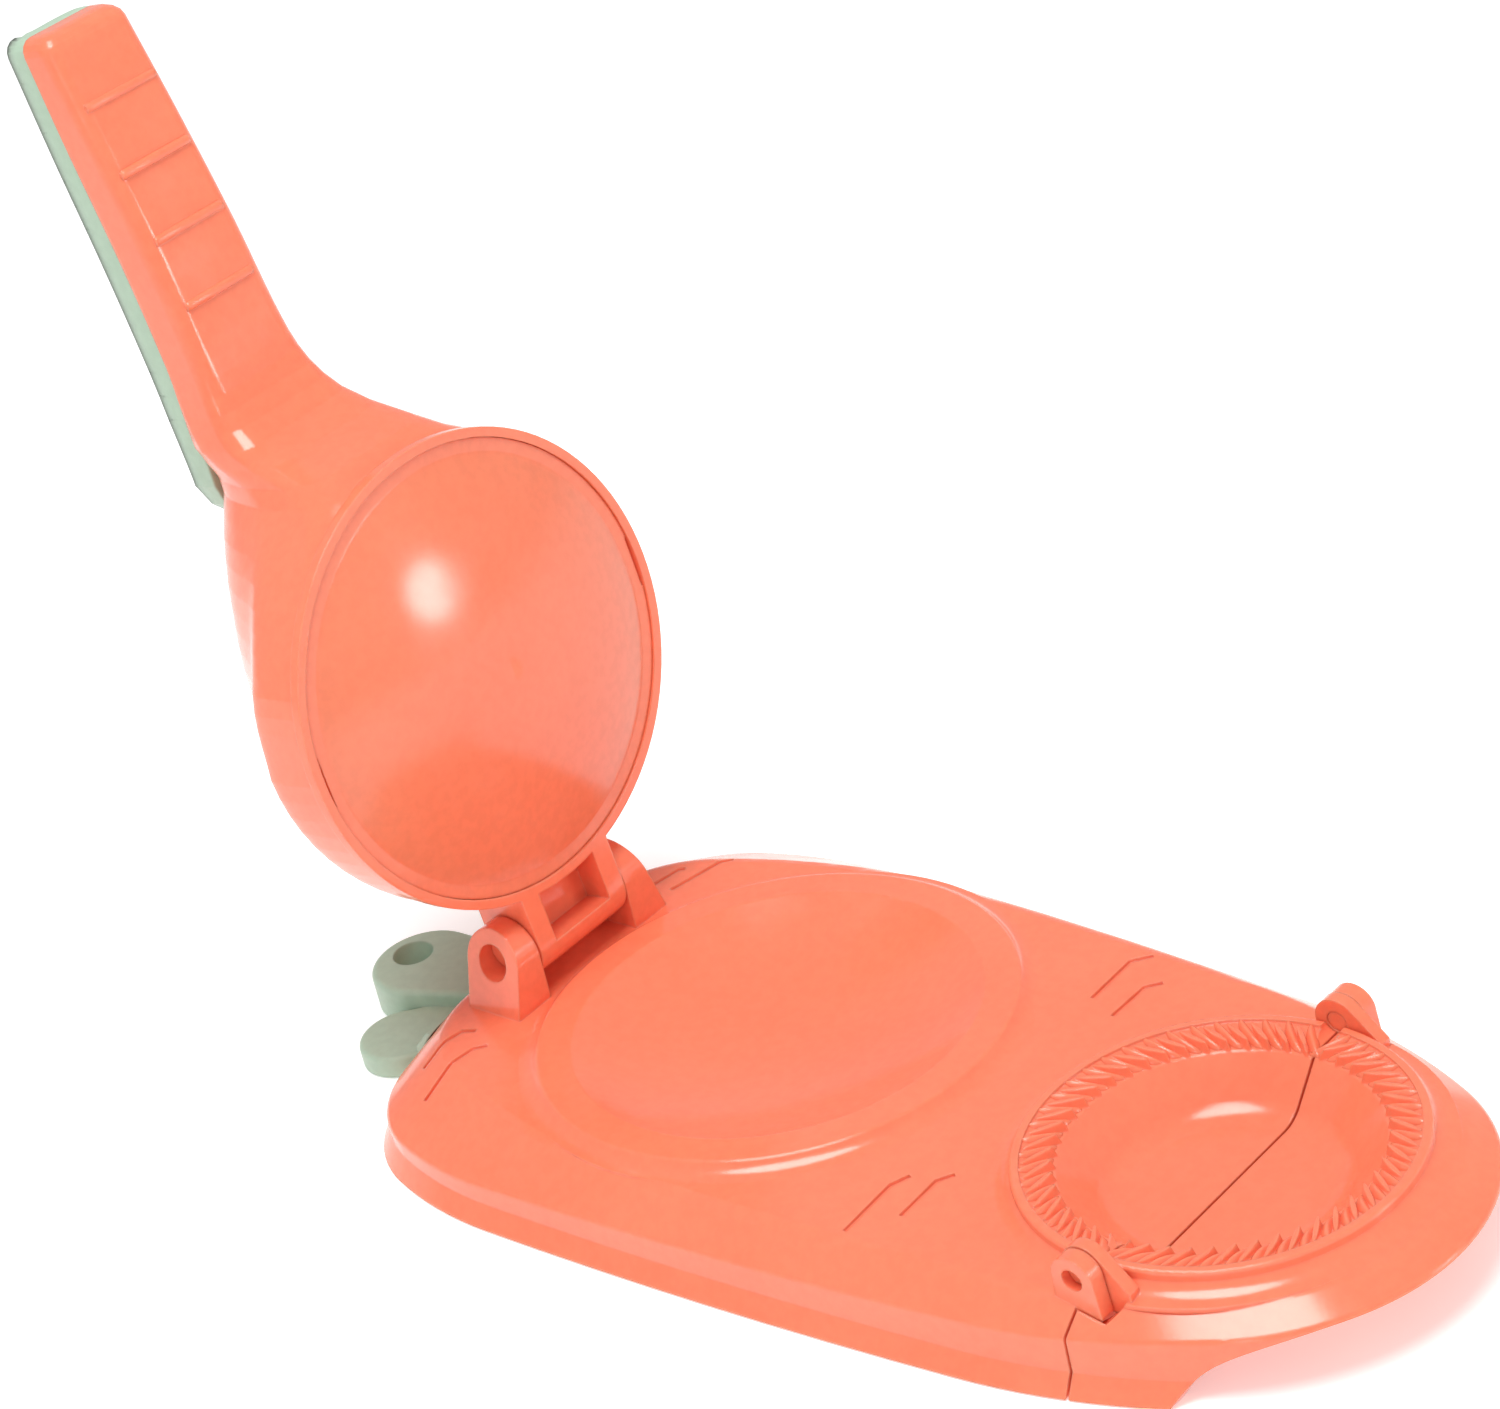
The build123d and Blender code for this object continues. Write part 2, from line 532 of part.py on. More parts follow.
with BuildPart() as lever_housing:
    # Hinge block with its open pocket, and the heel that stops the open lever
    with BuildSketch(LEVER_SIDE):
        Circle(SEAM_AHEAD)
        with Locations((BLOCK_LENGTH / 2, 0)):
            Rectangle(BLOCK_LENGTH, 2 * SEAM_AHEAD)
    extrude(amount=BLOCK_HALF, both=True)
    with BuildSketch(Plane.XZ):
        with Locations((LEVER_X, LEVER_Z)):
            heel = LEVER_Z - DECK_Z - GAP
            Polygon((-9.5, 2), (-9.5, -heel), (-2, -heel), (2, -5), (2, 2), align=None)
    extrude(amount=BLOCK_HALF, both=True)
    with Locations(LEVER_SIDE):
        with Locations((BLOCK_LENGTH / 2 - 1, SEAM_AHEAD, 0)):
            Box(BLOCK_LENGTH, 2 * SEAM_AHEAD - 1, 2 * POCKET_HALF, mode=Mode.SUBTRACT)
    # Bowl, neck and handle, open at the back where the cover lies
    with BuildPart(mode=Mode.PRIVATE) as ladle:
        add(lever_form(NECK, NECK_STEPS, bowl_rows))
        with BuildSketch(LONG_SIDE):
            with BuildLine():
                seat = [(along, front) for along, _, front, *_ in COVER[2:]]
                run_out = (2 * seat[-1][0] - seat[-2][0], 2 * seat[-1][1] - seat[-2][1])
                Polyline(*seat, run_out, (run_out[0], -80), (seat[0][0], -80), close=True)
            make_face()
        extrude(amount=HOUSING_R, both=True, mode=Mode.SUBTRACT)
        with BuildSketch(LONG_SIDE):
            with BuildLine():
                floor = [(along, front - WALL) for along, _, front, *_ in NECK[9:]]
                floor[-1] = (floor[-1][0] - WALL, floor[-1][1] + 0.4)
                Polyline((NECK[8][0], -46), *floor, (floor[-1][0], -80), (NECK[8][0], -80),
                         close=True)
            make_face()
        extrude(amount=9.5, both=True, mode=Mode.SUBTRACT)
    add(ladle)
    # Rim and the collar behind it, a little inside the bowl
    with BuildSketch(SEAM_SIDE):
        with BuildLine():
            collar_r = BOWL_R - COLLAR_INSET
            collar_depth = BOWL_DEPTH - COLLAR_INSET
            turn = degrees(asin(COLLAR_DEPTH / collar_depth))
            collar = EllipticalCenterArc((0, 0), collar_r, collar_depth,
                                         start_angle=360 - turn, arc_size=turn)
            Polyline(collar @ 1, (0, 0), (0, -COLLAR_DEPTH), collar @ 0)
        make_face()
    revolve(axis=PLATE_AXIS)
    with BuildSketch(SEAM):
        Circle(HOUSING_R)
    extrude(amount=-HOUSING_LIP)
    add(handle_cover.part, mode=Mode.SUBTRACT)
    # Hollow of the bowl, with a ledge for the plate
    with BuildSketch(SEAM_SIDE):
        with BuildLine():
            inner_r = BOWL_R - WALL
            inner_depth = BOWL_DEPTH - BOWL_FLOOR
            turn = asin(LEDGE_DEPTH / inner_depth)
            hollow = EllipticalCenterArc((0, 0), inner_r, inner_depth, start_angle=270,
                                         arc_size=90 - degrees(turn))
            Polyline(hollow @ 1, (LEDGE_R, -LEDGE_DEPTH), (LEDGE_R, -PLATE_THICK),
                     (PLATE_R + PLATE_FIT, -PLATE_THICK), (PLATE_R + PLATE_FIT, 1), (0, 1),
                     hollow @ 0)
        make_face()
    revolve(axis=PLATE_AXIS, mode=Mode.SUBTRACT)
    # Grip ribs on the front of the handle
    for along in GRIP_RIBS:
        for (low, _, low_front, *_), (high, _, high_front, *_) in zip(NECK, NECK[1:]):
            if low <= along < high:
                front = low_front + (high_front - low_front) * (along - low) / (high - low)
        with Locations(LONG_SIDE):
            with Locations((along, front - RIB_R + RIB_HEIGHT, 0)):
                Cylinder(RIB_R, 2 * RIB_HALF)
    # Bores for the hinge pins
    for side in (-1, 1):
        with Locations(LEVER_SIDE.offset(side * (LEVER_PIN_IN + BLOCK_HALF) / 2)):
            Cylinder(LEVER_PIN_R, BLOCK_HALF - LEVER_PIN_IN + 0.002, mode=Mode.SUBTRACT)

with BuildPart() as press_plate:
    with BuildSketch(SEAM_SIDE):
        with BuildLine():
            sphere = (DOME_R**2 + DOME_HEIGHT**2) / (2 * DOME_HEIGHT)
            inner_edge = DOME_R - 1
            inner_height = DOME_HEIGHT - PLATE_THICK
            inner_sphere = (inner_edge**2 + inner_height**2) / (2 * inner_height)
            RadiusArc((0, DOME_HEIGHT - PLATE_DROP), (DOME_R, -PLATE_DROP), sphere)
            Polyline((DOME_R, -PLATE_DROP), (PLATE_R, -PLATE_DROP), (PLATE_R, -PLATE_THICK),
                     (inner_edge, -PLATE_THICK), (inner_edge, -PLATE_DROP))
            RadiusArc((inner_edge, -PLATE_DROP), (0, inner_height - PLATE_DROP), -inner_sphere)
            Line((0, inner_height - PLATE_DROP), (0, DOME_HEIGHT - PLATE_DROP))
        make_face()
    revolve(axis=PLATE_AXIS)
    # Slots of the two clips at the seam
    for turn in (CLIP_ANGLE, CLIP_ANGLE + 180):
        with BuildSketch(SEAM):
            with PolarLocations(PLATE_R, 1, start_angle=turn):
                Rectangle(2 * CLIP_WIDTH, CLIP_LENGTH)
        extrude(amount=-PLATE_THICK, mode=Mode.SUBTRACT)


def pins(axis, radius, inner, outer):
    """The two pins of a hinge, one on each side."""
    with BuildPart() as pair:
        for side in (-1, 1):
            with Locations(axis.offset(side * (inner + outer) / 2)):
                Cylinder(radius, outer - inner)
        fillet(pair.edges().filter_by(GeomType.CIRCLE), 0.3)
    return pair.part


def leaf(root, tip, root_r, tip_r, height, round_r):
    """One leaf of the carrot, widening from root to tip."""
    with BuildPart() as piece:
        with BuildSketch(Plane.XY):
            with Locations(root):
                Circle(root_r)
            with Locations(tip):
                Circle(tip_r)
            make_hull()
        extrude(amount=height)
        fillet(piece.faces().sort_by(Axis.Z)[-1].edges(), round_r)
    return piece.part


with BuildPart() as leaf_piece:
    for root, tip, tip_r in SIDE_LEAVES:
        add(leaf(root, tip, 8, tip_r, SIDE_LEAF_Z, 1.2))
    add(leaf(*CENTRE_LEAF, LEAF_Z, 1.5))
    with BuildSketch(Plane.XY):
        Polygon((REAR_X, -FLANGE_HALF), (REAR_X, FLANGE_HALF), (REAR_X - 9, 22),
                (REAR_X - 9, -24), align=None)
    extrude(amount=SIDE_LEAF_Z)
    # Upstand that lies against the rear of the base, clear of it and of its flared foot
    with BuildSketch(Plane.XZ):
        back = REAR_X - FLANGE_THICK
        Polygon((back, 0), (back, FLANGE_Z - FLANGE_LEAN), (back + FLANGE_LEAN, FLANGE_Z),
                (REAR_X + FLANGE_LEAN, FLANGE_Z), (REAR_X + FLANGE_LEAN, 0), align=None)
    extrude(amount=FLANGE_HALF, both=True)
    with BuildSketch(Plane.XZ):
        foot = REAR_X - BAND_FLARE - GAP
        Polygon((foot, 0), (REAR_X - GAP / 2, BAND_Z + 0.2), (0, BAND_Z + 0.2), (0, 0),
                align=None)
    extrude(amount=HALF_WIDTH, both=True, mode=Mode.SUBTRACT)
    add(carrot_body(GAP / 2, split_rear, Keep.BOTTOM, DECK_Z + GAP / 2, REAR_FALL,
                    rounded=False), mode=Mode.SUBTRACT)
    # Tongue into the rear wall, and the hole to hang the press by
    with Locations((REAR_X + 2 * WALL, 0, TONGUE_Z)):
        Box(2 * WALL + FLANGE_THICK, TONGUE_WIDTH, TONGUE_THICK,
            align=(Align.MAX, Align.CENTER, Align.CENTER))
    with Locations(HANG_AT):
        Cylinder(HANG_R, 3 * LEAF_Z, mode=Mode.SUBTRACT)

NODES = {
    "base_body": base_body.part,
    "front_flap": front_flap.part,
    "lever_housing": lever_housing.part,
    "press_plate": press_plate.part,
    "handle_cover": handle_cover.part,
    "leaf_piece": leaf_piece.part,
    "lever_hinge_pins": pins(LEVER_SIDE, LEVER_PIN_R, LEVER_PIN_IN, LEVER_PIN_OUT),
    "flap_hinge_pins": pins(FLAP_AXIS, FLAP_PIN_R, RIM_R + GAP + 0.1, FLAP_PIN_OUT),
}
for name, node in NODES.items():
    node.label = name
    export_step(node, f"parts/{name}.step")
    print(name, len(node.solids()), "solids", round(node.volume / 1000, 2), "cm3")
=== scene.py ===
import math

import bpy
from mathutils import Matrix, Vector


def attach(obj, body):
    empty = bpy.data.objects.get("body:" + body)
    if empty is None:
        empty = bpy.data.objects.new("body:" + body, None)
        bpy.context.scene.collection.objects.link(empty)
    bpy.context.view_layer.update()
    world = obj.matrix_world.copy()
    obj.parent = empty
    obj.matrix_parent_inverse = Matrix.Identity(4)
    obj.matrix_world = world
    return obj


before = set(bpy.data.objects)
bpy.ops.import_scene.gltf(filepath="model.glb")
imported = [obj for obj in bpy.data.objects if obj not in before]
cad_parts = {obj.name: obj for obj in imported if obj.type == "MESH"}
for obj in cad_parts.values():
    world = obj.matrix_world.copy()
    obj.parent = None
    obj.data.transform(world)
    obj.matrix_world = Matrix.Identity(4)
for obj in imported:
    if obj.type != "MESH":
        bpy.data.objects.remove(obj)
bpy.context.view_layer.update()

# A carrot-shaped dumpling press in glossy coral plastic with sage green leaves.
# Metres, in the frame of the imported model: +X towards the carrot's tip, +Z up.

MM = 0.001

# Places on the press that the pieces below are set by
MOULD_X = 116.2 * MM
MOULD_INNER_R = 33.0 * MM      # inner edge of the fluted band
MOULD_OUTER_R = 40.2 * MM      # wall of the rim
BAND_Z = 21.15 * MM            # middle of the band
TEETH_PER_HALF = 25
TOOTH_SLANT = math.radians(38)  # off the radius
TOOTH_BEND = 0.25
LEVER_AXIS = Vector((-62.6, 0, 29.8)) * MM
LEAN = math.radians(8.7)
UP = Vector((-math.sin(LEAN), 0, math.cos(LEAN)))
FACING = Vector((math.cos(LEAN), 0, math.sin(LEAN)))
SEAM_AHEAD = 8.1 * MM
# Front of the handle from the lever's seam plane: a parabola along it from the first rib on
HANDLE_FRONT = -40.1 * MM
HANDLE_SLOPE = -0.085
HANDLE_CURVE = -1.45     # per metre


# Materials


class Graph:
    """Short words for building a node tree."""

    def __init__(self, tree):
        self.tree = tree

    def node(self, kind, **settings):
        made = self.tree.nodes.new(kind)
        for key, value in settings.items():
            setattr(made, key, value)
        return made

    def link(self, source, target):
        self.tree.links.new(source, target)

    def feed(self, target, value):
        """Sets a socket, or links it when the value is a socket itself."""
        if isinstance(value, bpy.types.NodeSocket):
            self.link(value, target)
        else:
            target.default_value = value

    def math(self, operation, a, b=0.0, clamp=False):
        made = self.node("ShaderNodeMath", operation=operation, use_clamp=clamp)
        self.feed(made.inputs[0], a)
        self.feed(made.inputs[1], b)
        return made.outputs[0]

    def spread(self, value, low, high, to_low, to_high):
        made = self.node("ShaderNodeMapRange", interpolation_type="SMOOTHSTEP")
        for name, item in (("Value", value), ("From Min", low), ("From Max", high),
                           ("To Min", to_low), ("To Max", to_high)):
            self.feed(made.inputs[name], item)
        return made.outputs["Result"]

    def mix(self, factor, a, b):
        made = self.node("ShaderNodeMix", data_type="RGBA")
        self.feed(made.inputs[0], factor)
        self.feed(made.inputs[6], a)
        self.feed(made.inputs[7], b)
        return made.outputs[2]

    def noise(self, place, scale, detail=3.0, roughness=0.55):
        made = self.node("ShaderNodeTexNoise", noise_dimensions="3D")
        self.link(place, made.inputs["Vector"])
        self.feed(made.inputs["Scale"], scale)
        self.feed(made.inputs["Detail"], detail)
        self.feed(made.inputs["Roughness"], roughness)
        return made.outputs["Fac"]


def group_with(name, inputs, outputs):
    """An empty shader node group with named inputs and outputs."""
    tree = bpy.data.node_groups.new(name, "ShaderNodeTree")
    for title, kind, value in inputs:
        socket = tree.interface.new_socket(name=title, in_out="INPUT", socket_type=kind)
        socket.default_value = value
    for title, kind in outputs:
        tree.interface.new_socket(name=title, in_out="OUTPUT", socket_type=kind)
    graph = Graph(tree)
    return tree, graph, graph.node("NodeGroupInput"), graph.node("NodeGroupOutput")


def moulded_skin():
    """Surface of injection-moulded plastic: flow clouds, fine grain, rubbed patches."""
    tree, graph, given, out = group_with(
        "moulded skin",
        (("Colour", "NodeSocketColor", (0.8, 0.2, 0.1, 1)),
         ("Cloud Colour", "NodeSocketColor", (0.9, 0.3, 0.2, 1)),
         ("Cloud Amount", "NodeSocketFloat", 0.3),
         ("Roughness", "NodeSocketFloat", 0.25),
         ("Roughness Spread", "NodeSocketFloat", 0.06),
         ("Grain Scale", "NodeSocketFloat", 900.0),
         ("Grain Height", "NodeSocketFloat", 0.4)),
        (("Colour", "NodeSocketColor"), ("Roughness", "NodeSocketFloat"),
         ("Height", "NodeSocketFloat")),
    )
    place = graph.node("ShaderNodeTexCoord").outputs["Object"]
    clouds = graph.noise(place, 22.0, 2.0)
    smears = graph.noise(place, 70.0, 4.0, 0.6)
    specks = graph.noise(place, 420.0, 2.0, 0.5)
    grain = graph.noise(place, given.outputs["Grain Scale"], 2.0, 0.6)
    sag = graph.noise(place, 95.0, 1.0, 0.4)
    cloudy = graph.spread(clouds, 0.35, 0.68, 0.0, given.outputs["Cloud Amount"])
    colour = graph.mix(cloudy, given.outputs["Colour"], given.outputs["Cloud Colour"])
    speckle = graph.spread(specks, 0.3, 0.7, 0.97, 1.03)
    tone = graph.node("ShaderNodeHueSaturation")
    graph.link(speckle, tone.inputs["Value"])
    graph.link(colour, tone.inputs["Color"])
    graph.link(tone.outputs["Color"], out.inputs["Colour"])
    rubbed = graph.spread(smears, 0.38, 0.72, -0.5, 1.0)
    rough = graph.math("MULTIPLY", rubbed, given.outputs["Roughness Spread"])
    graph.link(graph.math("ADD", rough, given.outputs["Roughness"], clamp=True),
               out.inputs["Roughness"])
    height = graph.math("MULTIPLY", grain, given.outputs["Grain Height"])
    graph.link(graph.math("ADD", height, graph.math("MULTIPLY", sag, 0.6)),
               out.inputs["Height"])
    return tree


def worn_edges():
    """Mask of the outer edges that hands and sink rub, broken up by noise."""
    tree, graph, given, out = group_with(
        "worn edges",
        (("Radius", "NodeSocketFloat", 0.0008), ("Break Up", "NodeSocketFloat", 120.0)),
        (("Mask", "NodeSocketFloat"), ("Normal", "NodeSocketVector")),
    )
    soft = graph.node("ShaderNodeBevel", samples=4)
    graph.link(given.outputs["Radius"], soft.inputs["Radius"])
    surface = graph.node("ShaderNodeNewGeometry")
    facing = graph.node("ShaderNodeVectorMath", operation="DOT_PRODUCT")
    graph.link(soft.outputs["Normal"], facing.inputs[0])
    graph.link(surface.outputs["Normal"], facing.inputs[1])
    bend = graph.spread(facing.outputs["Value"], 0.99, 0.8, 0.0, 1.0)
    place = graph.node("ShaderNodeTexCoord").outputs["Object"]
    patches = graph.spread(graph.noise(place, given.outputs["Break Up"], 3.0), 0.35, 0.6,
                           0.25, 1.0)
    graph.link(graph.math("MULTIPLY", bend, patches), out.inputs["Mask"])
    graph.link(soft.outputs["Normal"], out.inputs["Normal"])
    return tree


SKIN = moulded_skin()
EDGES = worn_edges()
WORN_TINT = 0.35         # share of the worn colour on a fully rubbed edge
WORN_ROUGHNESS = 0.06    # and the roughness that such an edge gains
RELIEF_DEPTH = 0.2 * MM


def plastic(name, worn, bump, edge_radius, look, settings):
    """A moulded plastic. look gives the skin's inputs, settings the shader's own constants."""
    made = bpy.data.materials.new(name)
    made.use_nodes = True
    made.diffuse_color = look["Colour"]
    tree = made.node_tree
    tree.nodes.clear()
    graph = Graph(tree)
    shader = graph.node("ShaderNodeBsdfPrincipled")
    for key, value in settings.items():
        shader.inputs[key].default_value = value
    skin = graph.node("ShaderNodeGroup", node_tree=SKIN)
    for key, value in look.items():
        skin.inputs[key].default_value = value
    edges = graph.node("ShaderNodeGroup", node_tree=EDGES)
    edges.inputs["Radius"].default_value = edge_radius
    wear = graph.math("MULTIPLY", edges.outputs["Mask"], WORN_TINT)
    graph.link(graph.mix(wear, skin.outputs["Colour"], worn),
               shader.inputs["Base Color"])
    graph.link(graph.math("ADD", skin.outputs["Roughness"],
                          graph.math("MULTIPLY", edges.outputs["Mask"],
                                     WORN_ROUGHNESS)),
               shader.inputs["Roughness"])
    relief = graph.node("ShaderNodeBump")
    relief.inputs["Strength"].default_value = bump
    relief.inputs["Distance"].default_value = RELIEF_DEPTH
    graph.link(skin.outputs["Height"], relief.inputs["Height"])
    graph.link(edges.outputs["Normal"], relief.inputs["Normal"])
    graph.link(relief.outputs["Normal"], shader.inputs["Normal"])
    finish = graph.node("ShaderNodeOutputMaterial")
    graph.link(shader.outputs["BSDF"], finish.inputs["Surface"])
    return made


coral = plastic(
    "glossy coral plastic", worn=(1.0, 0.42, 0.28, 1), bump=0.16, edge_radius=0.7 * MM,
    look={"Colour": (0.90, 0.202, 0.104, 1), "Cloud Colour": (0.94, 0.235, 0.128, 1),
          "Cloud Amount": 0.45, "Roughness": 0.17, "Roughness Spread": 0.06,
          "Grain Scale": 1100.0, "Grain Height": 0.35},
    settings={"IOR": 1.5, "Specular IOR Level": 0.5, "Subsurface Weight": 0.25,
              "Subsurface Scale": 6 * MM, "Subsurface Radius": (1.0, 0.28, 0.14),
              "Coat Weight": 0.12, "Coat Roughness": 0.12},
)
sage = plastic(
    "satin sage plastic", worn=(0.52, 0.62, 0.50, 1), bump=0.25, edge_radius=0.8 * MM,
    look={"Colour": (0.40, 0.53, 0.405, 1), "Cloud Colour": (0.445, 0.575, 0.45, 1),
          "Cloud Amount": 0.4, "Roughness": 0.42, "Roughness Spread": 0.08,
          "Grain Scale": 1500.0, "Grain Height": 0.8},
    settings={"IOR": 1.48, "Specular IOR Level": 0.4, "Subsurface Weight": 0.06,
              "Subsurface Scale": 3 * MM, "Subsurface Radius": (0.8, 1.0, 0.7)},
)

GREEN_NODES = ("handle_cover", "leaf_piece")
for name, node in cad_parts.items():
    finish = sage if name in GREEN_NODES else coral
    node.data.materials.clear()
    node.data.materials.append(finish)


# Repeated pieces


def geometry_tree(name, sizes):
    """An empty geometry tree with named inputs; the first output is its geometry."""
    tree = bpy.data.node_groups.new(name, "GeometryNodeTree")
    tree.interface.new_socket(name="Geometry", in_out="OUTPUT",
                              socket_type="NodeSocketGeometry")
    for title, kind, value in sizes:
        socket = tree.interface.new_socket(name=title, in_out="INPUT", socket_type=kind)
        if value is not None:
            socket.default_value = value
    graph = Graph(tree)
    return tree, graph, graph.node("NodeGroupInput"), graph.node("NodeGroupOutput")


def row_of_points(graph, count):
    """As many points as the count; returns the node and each point's index."""
    points = graph.node("GeometryNodePoints")
    graph.link(count, points.inputs["Count"])
    return points, graph.node("GeometryNodeInputIndex").outputs["Index"]


def ball_to_shape(graph, segments, rings, radius):
    """A ball, and the X, Y and Z of its points to form it by."""
    ball = graph.node("GeometryNodeMeshUVSphere")
    ball.inputs["Segments"].default_value = segments
    ball.inputs["Rings"].default_value = rings
    ball.inputs["Radius"].default_value = radius
    split = graph.node("ShaderNodeSeparateXYZ")
    graph.link(graph.node("GeometryNodeInputPosition").outputs["Position"],
               split.inputs["Vector"])
    return ball.outputs["Mesh"], split.outputs


def finish_tree(graph, given, out, points, ball, shape, rotation=None):
    """Forms the ball and sets it on each point, realised, smooth and in its material."""
    formed = graph.node("GeometryNodeSetPosition")
    graph.link(ball, formed.inputs["Geometry"])
    graph.link(shape.outputs["Vector"], formed.inputs["Position"])
    placed = graph.node("GeometryNodeInstanceOnPoints")
    graph.link(points.outputs["Geometry"], placed.inputs["Points"])
    graph.link(formed.outputs["Geometry"], placed.inputs["Instance"])
    if rotation:
        graph.link(rotation.outputs["Vector"], placed.inputs["Rotation"])
    real = graph.node("GeometryNodeRealizeInstances")
    graph.link(placed.outputs["Instances"], real.inputs["Geometry"])
    smooth = graph.node("GeometryNodeSetShadeSmooth")
    graph.link(real.outputs["Geometry"], smooth.inputs["Geometry"])
    dressed = graph.node("GeometryNodeSetMaterial")
    graph.link(smooth.outputs["Geometry"], dressed.inputs["Geometry"])
    graph.link(given.outputs["Material"], dressed.inputs["Material"])
    graph.link(dressed.outputs["Geometry"], out.inputs["Geometry"])


def fluting_tree():
    """Curved slanting teeth on an arc, thinner towards their crests."""
    number, whole, stuff = "NodeSocketFloat", "NodeSocketInt", "NodeSocketMaterial"
    tree, graph, given, out = geometry_tree("fluting", (
        ("Teeth", whole, 25), ("Start Angle", number, 0.0), ("Step Angle", number, 0.125),
        ("Band Radius", number, 0.036), ("Tooth Length", number, 0.009),
        ("Tooth Width", number, 0.0025), ("Tooth Height", number, 0.0025),
        ("Slant", number, 0.66), ("Bend", number, 0.12), ("Fall", number, 0.3),
        ("Material", stuff, None),
    ))
    points, index = row_of_points(graph, given.outputs["Teeth"])
    turn = graph.math("ADD", graph.math("MULTIPLY", graph.math("ADD", index, 0.5),
                                        given.outputs["Step Angle"]),
                      given.outputs["Start Angle"])
    spot = graph.node("ShaderNodeCombineXYZ")
    radius = given.outputs["Band Radius"]
    graph.link(graph.math("MULTIPLY", graph.math("COSINE", turn), radius), spot.inputs["X"])
    graph.link(graph.math("MULTIPLY", graph.math("SINE", turn), radius), spot.inputs["Y"])
    graph.link(spot.outputs["Vector"], points.inputs["Position"])

    ball, at = ball_to_shape(graph, segments=16, rings=10, radius=0.5)
    # The crest is narrower than the foot, and the tooth curves along its length
    crest = graph.spread(at["Z"], -0.3, 0.5, 1.0, 0.42)
    sideways = graph.math("MULTIPLY", at["Y"], crest)
    arc = graph.math("MULTIPLY", graph.math("MULTIPLY", at["X"], at["X"]),
                     given.outputs["Bend"])
    shape = graph.node("ShaderNodeCombineXYZ")
    long = graph.math("MULTIPLY", at["X"], given.outputs["Tooth Length"])
    graph.link(long, shape.inputs["X"])
    graph.link(graph.math("ADD",
                          graph.math("MULTIPLY", sideways, given.outputs["Tooth Width"]),
                          graph.math("MULTIPLY", arc, given.outputs["Tooth Length"])),
               shape.inputs["Y"])
    graph.link(graph.math("ADD",
                          graph.math("MULTIPLY", at["Z"], given.outputs["Tooth Height"]),
                          graph.math("MULTIPLY", long, given.outputs["Fall"])),
               shape.inputs["Z"])
    spin = graph.node("ShaderNodeCombineXYZ")
    graph.link(graph.math("ADD", turn, given.outputs["Slant"]), spin.inputs["Z"])
    finish_tree(graph, given, out, points, ball, shape, spin)
    return tree


def rib_tree():
    """Round-ended bars in a row down the handle's curved front."""
    number, whole, stuff = "NodeSocketFloat", "NodeSocketInt", "NodeSocketMaterial"
    tree, graph, given, out = geometry_tree("grip ribs", (
        ("Ribs", whole, 4), ("First", number, 0.154), ("Pitch", number, 0.01533),
        ("Half Length", number, 0.01), ("Radius", number, 0.0011),
        ("Rise", number, 0.0001), ("Material", stuff, None),
    ))
    points, index = row_of_points(graph, given.outputs["Ribs"])
    travel = graph.math("MULTIPLY", index, given.outputs["Pitch"])
    sink = graph.math("ADD", graph.math("MULTIPLY", travel, HANDLE_SLOPE),
                      graph.math("MULTIPLY", graph.math("MULTIPLY", travel, travel),
                                 HANDLE_CURVE))
    sink = graph.math("ADD", graph.math("ADD", sink, HANDLE_FRONT), given.outputs["Rise"])
    spot = graph.node("ShaderNodeCombineXYZ")
    graph.link(graph.math("ADD", travel, given.outputs["First"]), spot.inputs["X"])
    graph.link(sink, spot.inputs["Z"])
    graph.link(spot.outputs["Vector"], points.inputs["Position"])

    ball, at = ball_to_shape(graph, segments=20, rings=12, radius=1.0)
    # A ball pulled out from its middle into a bar with round ends
    side = graph.math("SIGN", at["Y"])
    reach = graph.math("SUBTRACT", given.outputs["Half Length"], given.outputs["Radius"])
    away = graph.math("GREATER_THAN", graph.math("ABSOLUTE", at["Y"]), 0.05)
    shape = graph.node("ShaderNodeCombineXYZ")
    for axis in "XZ":
        graph.link(graph.math("MULTIPLY", at[axis], given.outputs["Radius"]),
                   shape.inputs[axis])
    stretch = graph.math("MULTIPLY", graph.math("MULTIPLY", side, away), reach)
    graph.link(graph.math("ADD", stretch,
                          graph.math("MULTIPLY", at["Y"], given.outputs["Radius"])),
               shape.inputs["Y"])
    finish_tree(graph, given, out, points, ball, shape)
    return tree


def grown(name, tree, values, body, place):
    """Runs a geometry tree once and keeps its result as a plain mesh on a body."""
    holder = bpy.data.objects.new(name + "_source", bpy.data.meshes.new(name + "_source"))
    bpy.context.scene.collection.objects.link(holder)
    modifier = holder.modifiers.new("growth", "NODES")
    modifier.node_group = tree
    for item in tree.interface.items_tree:
        if item.in_out == "INPUT" and item.name in values:
            modifier[item.identifier] = values[item.name]
    bpy.context.view_layer.update()
    evaluated = holder.evaluated_get(bpy.context.evaluated_depsgraph_get())
    mesh = bpy.data.meshes.new_from_object(evaluated)
    mesh.name = name
    mesh.transform(place)
    holder.modifiers.remove(modifier)
    bpy.data.objects.remove(holder)
    piece = bpy.data.objects.new(name, mesh)
    bpy.context.scene.collection.objects.link(piece)
    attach(piece, body)


FLUTING = fluting_tree()
tooth = {
    "Teeth": TEETH_PER_HALF,
    "Step Angle": math.pi / TEETH_PER_HALF,
    "Band Radius": (MOULD_INNER_R + MOULD_OUTER_R) / 2,
    "Tooth Length": 9.6 * MM,
    "Tooth Width": 3.1 * MM,
    "Tooth Height": 2.6 * MM,
    "Fall": 0.24,
    "Material": coral,
}
mould = Matrix.Translation((MOULD_X, 0, BAND_Z))
